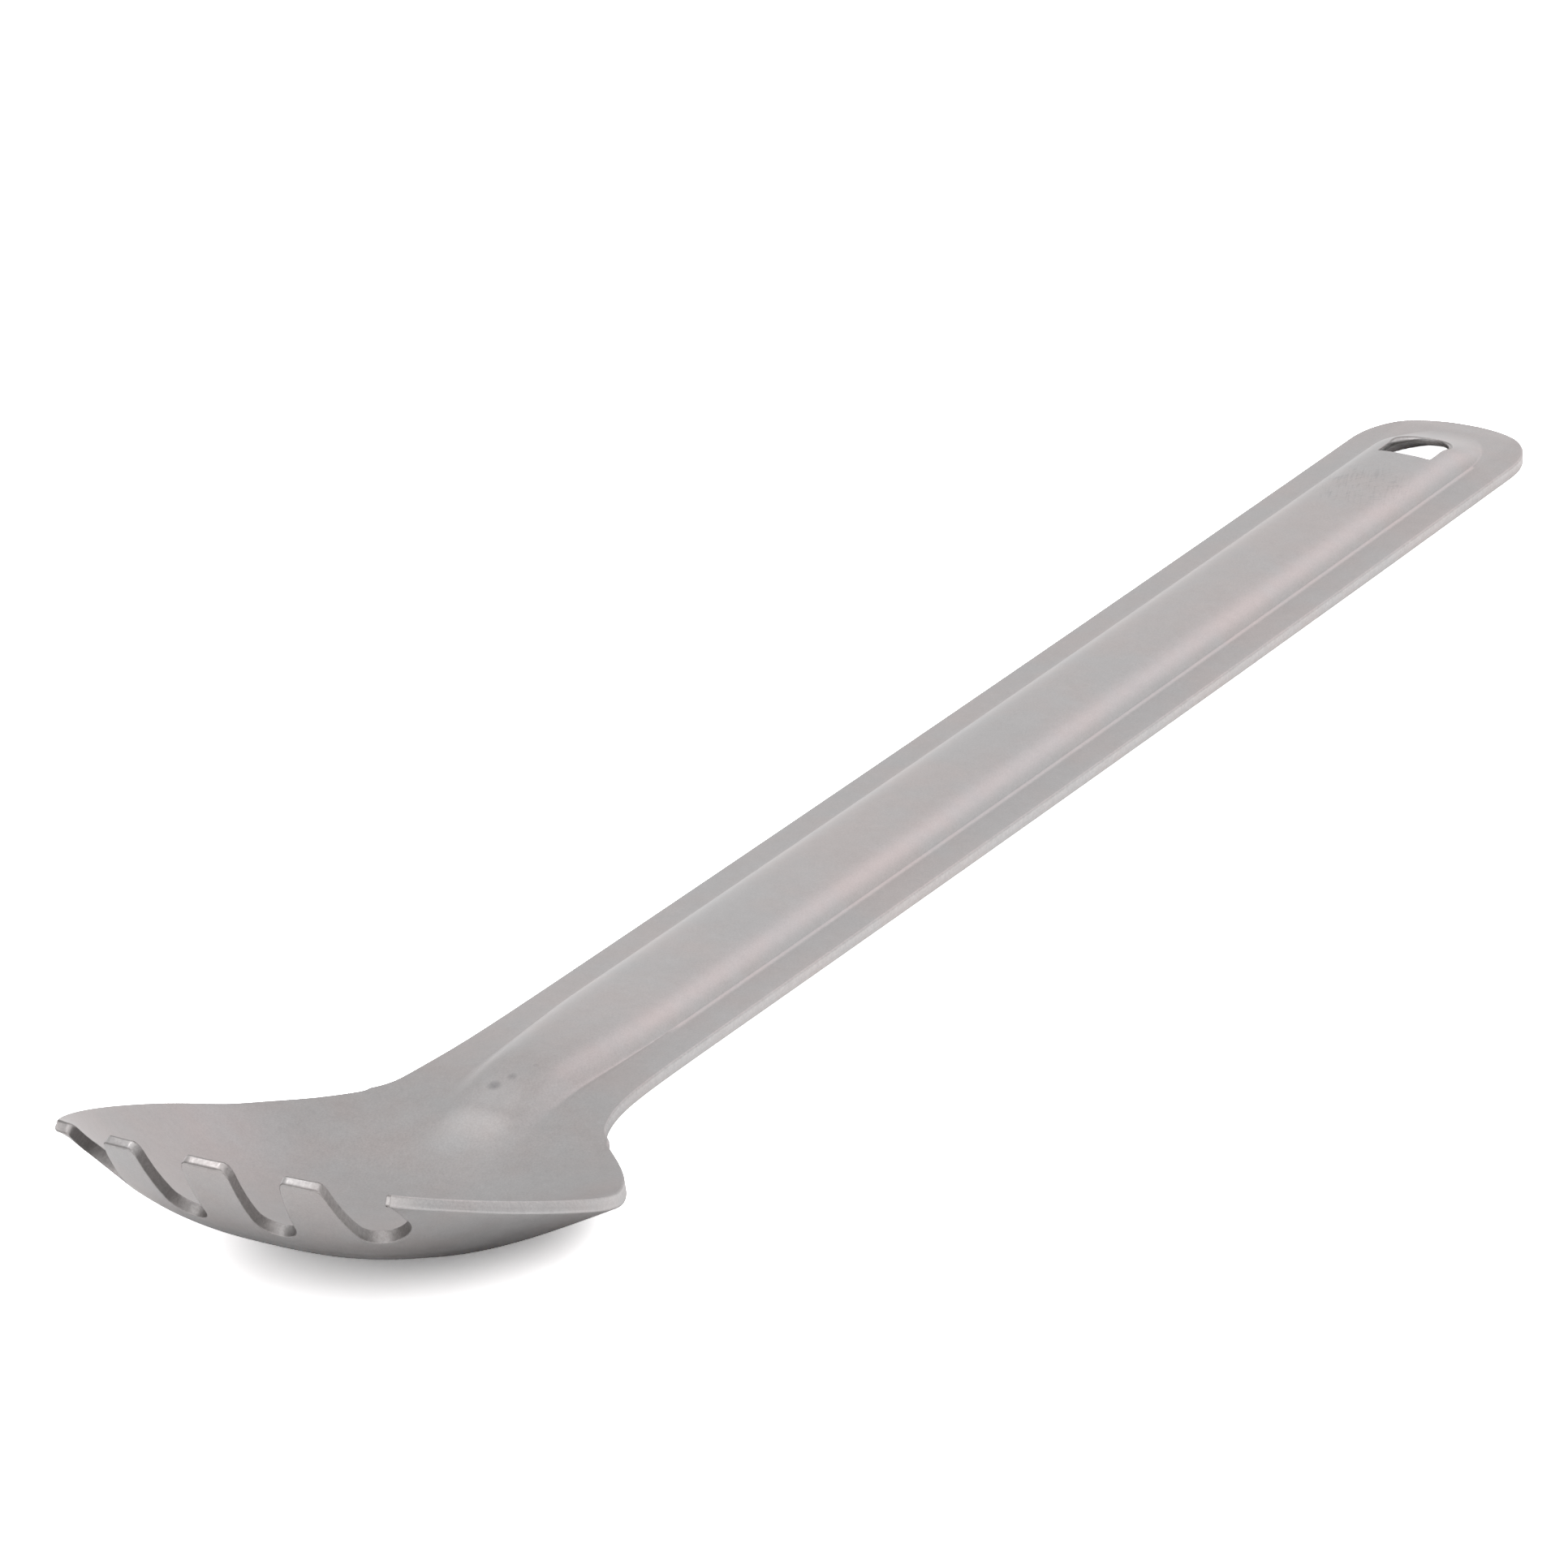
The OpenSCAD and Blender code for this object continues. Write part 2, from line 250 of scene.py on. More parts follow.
def sheetNormal(x, y):
    # Upright of the sheet, from its slopes.
    h = grid["probe"]
    dx = (sheetZ(x + h, y) - sheetZ(x - h, y)) / (2 * h)
    dy = (sheetZ(x, y + h) - sheetZ(x, y - h)) / (2 * h)
    return unit(np.stack([-dx, -dy, np.ones_like(dx)], -1))


def upperPoint(x, y):
    # A point of the upper face: the sheet's height with the rib's on top.
    return np.stack([x, y, sheetZ(x, y) + ribZ(x, y, 0)], -1)


def underPoint(x, y):
    # The sheet's own surface with the rib inset, moved along the upright by the thickness.
    inset = spork["ribInsetShare"] * spork["sheetT"]
    low = np.stack([x, y, sheetZ(x, y) + ribZ(x, y, inset)], -1)
    return low - (sheetT(x) - holeThinning(x, y))[..., None] * sheetNormal(x, y)


def resample(line, shares):
    # Points of a line at shares of its own length.
    steps = np.linalg.norm(np.diff(line, axis=0), axis=1)
    length = np.concatenate([[0], np.cumsum(steps)])
    at = np.asarray(shares) * length[-1]
    return np.stack([np.interp(at, length, line[:, k]) for k in (0, 1)], -1)


def roundCorner(lineIn, lineOut, radius):
    # Arc that touches both lines beside their shared corner. Each line keeps half of the arc.
    corner = lineOut[0]
    a, b = unit(lineIn[-2] - corner), unit(lineOut[1] - corner)
    half = np.arccos(np.clip(a @ b, -1, 1)) / 2
    centre = corner + unit(a + b) * radius / np.sin(half)
    cut = radius / np.tan(half)
    first, last = corner + a * cut - centre, corner + b * cut - centre
    start = np.arctan2(first[1], first[0])
    sweep = (np.arctan2(last[1], last[0]) - start + np.pi) % (2 * np.pi) - np.pi
    t = start + sweep * np.linspace(0, 1, grid["cornerSteps"] + 1)
    arc = centre + radius * np.stack([np.cos(t), np.sin(t)], -1)
    before, after = (line[np.linalg.norm(line - corner, axis=1) > cut * grid["cornerRoom"]]
                     for line in (lineIn, lineOut))
    middle = grid["cornerSteps"] // 2
    return np.vstack([before, arc[:middle + 1]]), np.vstack([arc[middle:], after])


def slotWall(slot, side, sign):
    # Straight wall from the tips to the round root, then the root's arc up to its 45 degree place.
    r = slot["width"] / 2
    root = np.array([tipX(slot["y"]) + slot["depth"] - r, slot["y"]])
    mouthY = slot["mouth"][(1 + side) // 2]
    mouth = np.array([tipX(mouthY), mouthY])
    share = np.linspace(0, 1, grid["straightPoints"])[:, None]
    turn = np.linspace(0, np.pi / 4, grid["arcPoints"])[1:, None]
    arc = root + r * np.hstack([np.sin(turn), side * np.cos(turn)])
    return np.vstack([mix(mouth, root + (0, side * r), share), arc]) * (1, sign)


def slotRoot(slot, sign):
    # Middle quarter of the root's circle, from the wall at greater y.
    r = slot["width"] / 2
    turn = np.linspace(np.pi / 4, 3 * np.pi / 4, grid["rootPoints"])[:, None]
    centre = np.array([tipX(slot["y"]) + slot["depth"] - r, slot["y"]])
    arc = centre + r * np.hstack([np.sin(turn), np.cos(turn)])
    return arc if sign > 0 else arc[::-1] * (1, -1)


def endShare():
    # Where the diagonal meets the handle's rounded end, a superellipse, as a share of its half axes.
    return 2 ** (-1 / spork["endPower"])


def superellipse(u):
    # The height h at u where u and h, each raised to the end's power, add up to 1.
    return (1 - u ** spork["endPower"]) ** (1 / spork["endPower"])


def sideLine(sign):
    # Outline from the horn's tip to where the diagonal meets the handle's rounded end. The horn's tip
    # is where the half width and the arc of the tips agree.
    p, g = spork, grid
    y = p["bowlWidth"] / 2
    for _ in range(g["hornTries"]):
        y = float(openWidth(tipX(np.array(y))))
    endStart = p["handleLength"] - p["endLength"]
    straight = np.linspace(float(tipX(np.array(y))), endStart, g["sidePoints"])
    bend = endStart + p["endLength"] * np.linspace(0, endShare(), g["straightPoints"])[1:]
    x = np.concatenate([straight, bend])
    u = np.clip((x - endStart) / p["endLength"], 0, 1)
    return np.stack([x, sign * openWidth(x) * superellipse(u)], -1)


def endLine():
    # Middle of the handle's rounded end, from -y to +y.
    p = spork
    v = np.linspace(-endShare(), endShare(), grid["endPoints"])
    half = openWidth(np.array(p["handleLength"] - p["endLength"]))
    x = p["handleLength"] - p["endLength"] * (1 - superellipse(np.abs(v)))
    return np.stack([x, v * half], -1)


def tipLine(fromY, toY):
    # The arc of the tips between two places across.
    y = np.linspace(fromY, toY, grid["straightPoints"])
    return np.stack([tipX(y), y], -1)


def outerOutline():
    # The whole outline as lines joined by rounded corners, anticlockwise from the handle's end on +y:
    # a side, a horn's tip, three lines for each slot with a tip after it, a side and the end.
    inner, far, near = (spork[k] for k in ("innerSlot", "farSlot", "nearSlot"))
    left, right = sideLine(1)[::-1], sideLine(-1)
    hornY = left[-1, 1]
    slots = [(far, 1), (inner, 1), (inner, -1), (near, -1)]
    mouths = [s["mouth"][::-1] if sign > 0 else (-s["mouth"][0], -s["mouth"][1]) for s, sign in slots]
    tipEnds = [mouth[0] for mouth in mouths[1:]] + [-hornY]
    lines = [left, tipLine(hornY, mouths[0][0])]
    for (slot, sign), mouth, tipEnd in zip(slots, mouths, tipEnds):
        lines += [slotWall(slot, sign, sign), slotRoot(slot, sign), slotWall(slot, -sign, sign)[::-1],
                  tipLine(mouth[1], tipEnd)]
    lines += [right, endLine()]
    # Each of the five tips has a corner before it and one after it.
    for tip, name in enumerate(["hornCorner"] + ["tineCorner"] * 3 + ["pointCorner"]):
        for k in (4 * tip, 4 * tip + 1):
            lines[k], lines[k + 1] = roundCorner(lines[k], lines[k + 1], spork[name])
    return lines


def holeOutline():
    # Arch: a straight edge with rounded corners, straight sides and half an ellipse, as four lines
    # between 45 degree places. It runs clockwise from the straight edge's corner on -y.
    p, g = spork, grid
    half, r = p["holeWidth"] / 2, p["holeCorner"]
    edgeX, archX = holeSpan()
    axes = np.array([p["holeArch"], half])
    quarter = np.linspace(0, np.pi / 4, g["arcPoints"])[:, None]
    corner = np.array([edgeX + r, half - r])
    early = corner + r * np.hstack([-np.cos(quarter), np.sin(quarter)])
    late = corner + r * np.hstack([-np.sin(quarter[::-1]), np.cos(quarter[::-1])])
    arch = np.array([archX, 0]) + axes * np.hstack([np.sin(quarter), np.cos(quarter)])
    top = np.linspace(np.pi / 4, 3 * np.pi / 4, g["straightPoints"])[:, None]
    side = np.vstack([late, arch])
    edge = np.vstack([early[::-1] * (1, -1), early])
    over = np.array([archX, 0]) + axes * np.hstack([np.sin(top), np.cos(top)])
    return [edge, side, over, side[::-1] * (1, -1)]


def gridColumns():
    # Column numbers at which the strips across the tips begin: a horn, then slots with tines between
    # them, then the other horn.
    g = grid
    strips = [g["hornCells"]] + [g["slotCells"], g["tineCells"]] * 3 + [g["slotCells"], g["hornCells"]]
    return np.concatenate([[0], np.cumsum(strips)])


def rowPlaces():
    # Each row's place on the sides, even within each zone along the length.
    g, p = grid, spork
    counts = [g[k] for k in ("tineRows", "blendRows", "bowlRows", "noseRows", "handleRows", "endRows")]
    starts = np.concatenate([[0], np.cumsum(counts)])
    endSide = p["handleLength"] - p["endLength"] * (1 - endShare())
    places = [g["hornFrom"], g["blendFrom"], g["blendTo"], -p["noseReach"], p["noseReach"],
              g["endFrom"], endSide]
    return np.interp(np.arange(starts[-1] + 1), starts, places)


def crossShares():
    # Places of the columns as shares of the half width: even in the bowl, and on the handle close
    # together at the rib's walls.
    g, p = grid, spork
    half = p["handleWidth"] / 2 - p["edgeShares"]["rim"] * p["sheetT"]
    foot = p["ribWidth"] / 2
    crown = np.linspace(0, g["crownShare"], g["crownCells"] + 1)[:-1] * foot
    crowded = np.linspace(1, 0, g["wallCells"] + 1)[:-1] ** g["wallCrowding"]
    flange = np.linspace(foot, half, g["flangeCells"] + 1)
    side = np.concatenate([crown, mix(foot, g["crownShare"] * foot, crowded), flange]) / half
    return np.linspace(-1, 1, 2 * len(side) - 1), np.concatenate([-side[:0:-1], side])


def walk(rowFrom, rowTo, columnFrom, columnTo):
    # Grid nodes along a row or a column, without the last one.
    count = abs(rowTo - rowFrom) + abs(columnTo - columnFrom)
    share = np.arange(count) / count
    nodes = np.stack([mix(rowFrom, rowTo, share), mix(columnFrom, columnTo, share)], -1)
    return np.rint(nodes).astype(int)


def finely(steps):
    # Places along a walk, counted in nodes, with the finer steps after each node.
    return (np.arange(len(steps))[:, None] + np.linspace(0, 1, grid["finer"], endpoint=False)).ravel()


def edgeRing(loop, walks, radius, kind, lowRadius=None):
    # At every node of a closed outline: the upper face's point, the underside's, the upright and the
    # outward direction, which is the outline's tangent crossed with the upright. The upper and lower
    # radius of the rounding follow, and the grid's place, inside the upper rounding.
    point = upperPoint(loop[:, 0], loop[:, 1])
    along = unit(np.roll(point, -1, 0) - np.roll(point, 1, 0))
    step = grid["finer"]
    x, y = loop[::step].T
    point, along = point[::step], along[::step]
    up = sheetNormal(x, y)
    out = unit(np.cross(along, up))
    r = radius(x, y)[:, None]
    low = r if lowRadius is None else np.full_like(r, lowRadius)
    return {"top": point, "low": underPoint(x, y), "up": up, "out": out, "radius": r, "lowRadius": low,
            "inner": (point - r * out)[:, :2], "kind": kind, "nodes": np.vstack(walks)}


def outerRing(cuts, rowX, handleShares):
    # The closed outline, whose lines are shared out over the grid's border and the slots' walls: a side,
    # the far horn's tip, a wall, root, wall and tip for each slot, the other side and the end.
    lastRow, lastColumn, tine = len(rowX) - 1, cuts[-1], grid["tineRows"]
    lines = outerOutline()
    walks = [walk(lastRow, 0, lastColumn, lastColumn), walk(0, 0, lastColumn, cuts[-2])]
    kinds = ["rim", "tip"]
    for k in range(len(cuts) - 2, 0, -2):
        walks += [walk(0, tine, cuts[k], cuts[k]), walk(tine, tine, cuts[k], cuts[k - 1]),
                  walk(tine, 0, cuts[k - 1], cuts[k - 1]), walk(0, 0, cuts[k - 1], cuts[k - 2])]
        kinds += ["slot", "slot", "slot", "tip"]
    walks += [walk(0, lastRow, 0, 0), walk(lastRow, lastRow, 0, lastColumn)]
    kinds += ["rim", "rim"]
    loop = []
    for line, steps in zip(lines, walks):
        at = finely(steps)
        if len(steps) == lastRow:  # the sides follow the rows
            x = np.interp(at, np.arange(lastRow + 1), rowX[::-1] if line is lines[0] else rowX)
            order = np.argsort(line[:, 0])
            loop.append(np.stack([x, np.interp(x, line[order, 0], line[order, 1])], -1))
        elif line is lines[-1]:  # the handle's end follows the columns
            y = np.interp(at, np.arange(lastColumn + 1), handleShares) * line[-1, 1]
            loop.append(np.stack([np.interp(y, line[:, 1], line[:, 0]), y], -1))
        else:
            loop.append(resample(line, at / len(steps)))
    kind, share = (np.concatenate([np.full(len(steps), table[k]) for steps, k in zip(walks, kinds)])
                   for table in (edgeKinds, spork["edgeShares"]))
    reach = range(-grid["edgeReach"], grid["edgeReach"] + 1)
    share = sum(np.roll(share, k) for k in reach) / len(reach)
    return edgeRing(np.vstack(loop), walks, lambda x, y: share * sheetT(x), kind)


def holeCells(lastRow, lastColumn):
    # Rows and columns of the grid between which the hang hole lies.
    g = grid
    row = lastRow - g["endRows"] + g["holeRow"]
    column = lastColumn // 2 - g["holeCells"] // 2
    return row, row + g["holeSideRows"], column, column + g["holeCells"]


def holeRing(r0, r1, c0, c1):
    # The hang hole's outline, walked with the sheet on the left.
    walks = [walk(r0, r0, c0, c1), walk(r0, r1, c1, c1), walk(r1, r1, c1, c0), walk(r1, r0, c0, c0)]
    loop = [resample(line, finely(steps) / len(steps)) for line, steps in zip(holeOutline(), walks)]
    kind = np.full(sum(len(steps) for steps in walks), edgeKinds["hole"])
    return edgeRing(np.vstack(loop), walks, holeRadius, kind, spork["holeUnder"])


def relax(gx, gy, free, passes):
    # Moves the free nodes to the mean of their four neighbours, again and again.
    for _ in range(passes):
        for a in (gx, gy):
            mean = (np.roll(a, 1, 0) + np.roll(a, -1, 0) + np.roll(a, 1, 1) + np.roll(a, -1, 1)) / 4
            a[free] = mean[free]


def layGrid(lastRow, lastColumn, shares, rings, hole):
    # Straight rows to begin with, between the two sides of the outline.
    g, p = grid, spork
    gx, gy = np.zeros((2, lastRow + 1, lastColumn + 1))
    places = [tuple(ring["nodes"].T) for ring in rings]
    for ring, at in zip(rings, places):
        gx[at], gy[at] = ring["inner"].T
    pinnedX, pinnedY = gx.copy(), gy.copy()
    sideX, sideY = pinnedX[:, -1:], pinnedY[:, -1:]
    onHandle = smooth((sideX + p["noseReach"]) / (p["noseReach"] + p["ribFullX"]))
    gx[:, :], gy[:, :] = sideX, mix(*shares, onHandle) * sideY

    # The rounded end: rows bend from straight across to the end's curve, between the two sides.
    s = np.linspace(0, 1, g["endRows"] + 1)[:, None]
    v = (shares[1] + 1) / 2
    endRow = lastRow - g["endRows"]
    zone = slice(endRow, lastRow + 1)
    for a, pinned in ((gx, pinnedX), (gy, pinnedY)):
        first, last = a[endRow].copy(), pinned[lastRow]
        left, right = pinned[zone, :1], pinned[zone, -1:]
        a[zone] = (mix(first, last, s) + (left - mix(left[0], left[-1], s)) * (1 - v)
                   + (right - mix(right[0], right[-1], s)) * v)

    # From the tips to the end of the blend, and round the hole: the grid is fitted between the outlines.
    middle, margin = lastColumn // 2, g["holeMargin"]
    fixed = np.ones(gx.shape, bool)
    fixed[1:g["tineRows"] + g["blendRows"], 1:-1] = False
    fixed[hole[0] - margin + 1:hole[1] + margin,
          middle - g["crownCells"] + 1:middle + g["crownCells"]] = False
    for at in places:
        fixed[at] = True
        gx[at], gy[at] = pinnedX[at], pinnedY[at]
    relax(gx, gy, ~fixed, g["passes"])
    return gx, gy


def numberNodes(shape, cuts, hole):
    # Numbers of the nodes that carry metal, -1 elsewhere, and the cells between them.
    cells = np.ones((shape[0] - 1, shape[1] - 1), bool)
    for left, right in zip(cuts[1:-1:2], cuts[2::2]):
        cells[:grid["tineRows"], left:right] = False
    cells[hole[0]:hole[1], hole[2]:hole[3]] = False
    used = np.zeros(shape, bool)
    for di in (0, 1):
        for dj in (0, 1):
            used[di:di + shape[0] - 1, dj:dj + shape[1] - 1] |= cells
    number = np.full(shape, -1)
    number[used] = np.arange(used.sum())
    i, j = np.nonzero(cells)
    quads = np.stack([number[i, j], number[i + 1, j], number[i + 1, j + 1], number[i, j + 1]], -1)
    return number, used, quads


def edgeLines(ring):
    # A rounded profile from the upper face to the underside: an arc, two lines on the flat wall and an
    # arc. Where the lower radius is the smaller one, a line on the underside comes last.
    turns = np.linspace(0, np.pi / 2, grid["bendSteps"] + 1)[1:]
    r, low, up, out = (ring[k] for k in ("radius", "lowRadius", "up", "out"))
    upper = ring["top"] - r * up - r * out
    lower = ring["low"] + low * up - low * out
    wall = upper + r * out, lower + low * out
    lines = [upper + r * (up * np.cos(t) + out * np.sin(t)) for t in turns]
    lines += [mix(*wall, grid["flatFrom"]), mix(*wall, 1 - grid["flatFrom"])]
    lines += [lower + low * (out * np.sin(t) - up * np.cos(t)) for t in turns[::-1]]
    return lines if low is r else lines + [lower - low * up]


def makeSheetMesh():
    # The whole sheet: upper face, underside and the rounded edges between them.
    cuts, rowX, shares = gridColumns(), rowPlaces(), crossShares()
    lastRow, lastColumn = len(rowX) - 1, cuts[-1]
    hole = holeCells(lastRow, lastColumn)
    rings = outerRing(cuts, rowX, shares[1]), holeRing(*hole)
    gx, gy = layGrid(lastRow, lastColumn, shares, rings, hole)
    number, used, quads = numberNodes(gx.shape, cuts, hole)
    count = used.sum()
    points = [upperPoint(gx[used], gy[used]), underPoint(gx[used], gy[used])]
    faces = [quads, quads[:, ::-1] + count]

    # The edges are carried along both outlines. Each of their points keeps its share of the way down
    # and its kind of edge, for the finish.
    total = 2 * count
    down, kinds = [np.zeros(count), np.ones(count)], [np.zeros(total)]
    for ring in rings:
        lines = edgeLines(ring)
        depth = np.sum((ring["top"] - ring["low"]) * ring["up"], -1)
        down += [np.clip(np.sum((ring["top"] - line) * ring["up"], -1) / depth, 0, 1) for line in lines]
        kinds += [ring["kind"]] * len(lines)
        at, n = number[tuple(ring["nodes"].T)], len(ring["top"])
        numbers = [at] + [total + k * n + np.arange(n) for k in range(len(lines))] + [at + count]
        points += lines
        total += len(lines) * n
        for a, b in zip(numbers[:-1], numbers[1:]):
            faces.append(np.stack([a, b, np.roll(b, -1), np.roll(a, -1)], -1))

    # Into the part's frame: the handle's end and the lowest point lie where the solid has them.
    points = np.vstack(points)
    low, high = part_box("spork_body")
    points += (high.x / mm - spork["handleLength"], 0, low.z / mm - points[:, 2].min())
    mesh = bpy.data.meshes.new("sporkSheet")
    mesh.from_pydata(points * mm, [], np.vstack(faces).tolist())
    mesh.polygons.foreach_set("use_smooth", np.ones(len(mesh.polygons), bool))
    for name, values in (("down", np.concatenate(down)), ("edgeKind", np.concatenate(kinds))):
        mesh.attributes.new(name, "FLOAT", "POINT").data.foreach_set("value", values.astype(np.float32))
    mesh.update()
    return mesh


class Link:
    # A node's socket in a sum: adding or multiplying two of them makes a Math node.
    def __init__(self, tree, socket):
        self.tree, self.socket = tree, socket

    def math(self, kind, a, b):
        return addNode(self.tree, "ShaderNodeMath", {"operation": kind}, {0: a, 1: b})

    def __add__(self, other):
        return self.math("ADD", self, other)

    def __radd__(self, other):
        return self.math("ADD", other, self)

    def __sub__(self, other):
        return self.math("SUBTRACT", self, other)

    def __rsub__(self, other):
        return self.math("SUBTRACT", other, self)

    def __mul__(self, other):
        return self.math("MULTIPLY", self, other)

    def __rmul__(self, other):
        return self.math("MULTIPLY", other, self)

    def __abs__(self):
        return self.math("ABSOLUTE", self, 0)


def addNode(tree, kind, settings, inputs, output=0):
    # Makes a node with its settings, then gives its sockets their values or links.
    node = tree.nodes.new(kind)
    for name, value in settings.items():
        if name == "stops":
            ramp = node.color_ramp
            while len(ramp.elements) < len(value):
                ramp.elements.new(1)
            for element, (place, tone) in zip(ramp.elements, value):
                element.position, element.color = place, (tone, tone, tone, 1)
        else:
            setattr(node, name, value)
    for name, value in inputs.items():
        if isinstance(value, Link):
            tree.links.new(value.socket, node.inputs[name])
        else:
            node.inputs[name].default_value = value
    return Link(tree, node.outputs[output])


def rise(value, start, end, step="SMOOTHSTEP"):
    # 0 where the value is at the start, 1 where it is at the end.
    return addNode(value.tree, "ShaderNodeMapRange", {"interpolation_type": step},
                   {"Value": value, "From Min": start, "From Max": end})


def distance(place, spot):
    # Length of the vector from the spot to each place.
    return addNode(place.tree, "ShaderNodeVectorMath", {"operation": "DISTANCE"},
                   {0: place, 1: spot}, "Value")


def component(vector, name):
    # The vector's X, Y or Z.
    return addNode(vector.tree, "ShaderNodeSeparateXYZ", {}, {"Vector": vector}, name)


def emptyTree(owner):
    # The node tree of a material or a world, with its first nodes taken out.
    owner.use_nodes = True
    owner.node_tree.nodes.clear()
    return owner.node_tree


def showSurface(tree, kind, surface):
    # Ends a tree with its output node.
    out = tree.nodes.new(kind)
    tree.links.new(surface.socket, out.inputs["Surface"])


# Finish of the blasted titanium: sizes in millimetres, colours linear.
titanium = {
    "grey": (0.432, 0.412, 0.403, 1), "rose": (0.470, 0.418, 0.420, 1), "blue": (0.408, 0.417, 0.436, 1),
    # The pale edge colour is wear with painted highlight; the dark colour marks burrs and paints shade on
    # the slots' walls and inside the hole.
    "wearAndSheen": (0.62, 0.60, 0.59, 1), "burrAndShadeDark": (0.15, 0.14, 0.135, 1), "smudge": (0.16, 0.16, 0.17, 1),
    # noises, in the order in which the finish takes them: size of their blobs, detail and roughness
    "noises": ("cloud", "patch", "mottle", "grain", "edgeGrain"),
    "cloud": (11.0, 2, 0.5), "patch": (3.2, 3, 0.5), "mottle": (0.9, 3, 0.5), "grain": (0.16, 2, 0.7),
    "edgeGrain": (0.34, 3, 0.7),
    # tint: how the cloud and the patch decide between blue and rose, and how much of it shows
    "tintMix": (0.6, 0.4), "tintStops": ((0.40, 0), (0.60, 1)), "tintShare": 0.35,
    # brightness of the bowl, the handle and its flanges, and what the noises add to it; the darker bowl
    # and flanges are painted shade
    "bowlPaintedShade": 0.86, "handleShade": 1.03, "bowlTo": -72.0, "handleFrom": -45.0,
    "flangePaintedShade": 0.05, "flangeShare": 0.3, "mottleShade": 0.10, "grainShade": 0.34, "patchShade": 0.10,
    # ranges of the kinds of cut edge: any edge, a slot's wall, the tips and the hole, the hole alone
    "edgeStops": ((0, 0), (0.6, 1)), "slotRange": (1.2, 1.8), "tipRange": (2.2, 2.8),
    "holeRange": (3.2, 3.8),
    # tones down the height of an edge: painted highlight bands with a painted shade line between them, the
    # dark line of a burr at either side, and painted shade on the hole's inside
    "paintedEdgeLightStops": ((0, 0.6), (0.14, 1), (0.5, 0.6), (0.62, 0), (0.72, 0.55), (0.86, 0.5), (1, 0)),
    "burrStops": ((0, 0), (0.1, 1), (0.24, 0), (0.76, 0), (0.9, 1), (1, 0)),
    "holeShadeStops": ((0.4, 0), (0.6, 0.7)),
    # how much of the pale edge colour (wear with painted highlight) and the dark colour (burrs, and
    # painted shade on the slots' walls) shows, with coarse bright specks
    "speckStops": ((0.42, 0), (0.6, 1)), "rimWearAndSheen": 0.1, "rimSpeck": 0.2, "tipSpeck": 0.25,
    "burrBurnt": 0.8, "wallPaintedShade": 0.5, "wallSpeck": 0.15,
    # small marks: middle in the part's frame, radius and strength
    "marks": [((-65.9, 0.7, 4.87), 0.8, 0.5), ((-64.5, -0.05, 5.27), 0.6, 0.4),
              ((-62.5, -1.0, 5.62), 0.4, 0.3)],
    "markCore": 0.2,  # share of a mark's radius within which it is at full strength
    # a patch of crossed scratches, written as a mark is
    "brushed": ((86.5, 0.5, 3.3), 7.0, 0.35), "scratch": (0.22, 2, 0.6), "scratchStretch": (14, 1, 1),
    "scratchTurns": (-32, 20), "scratchStops": ((0.5, 0), (0.66, 1)),
    "roughness": 0.42, "roughSpread": 0.10, "grainRough": 0.12, "speckSmooth": 0.05,
    "grainBump": 0.10, "edgeBump": 0.45, "ripple": 0.05, "scratchBump": 0.1,
    "bumpStrength": 0.5, "bumpDepth": 0.1,
}


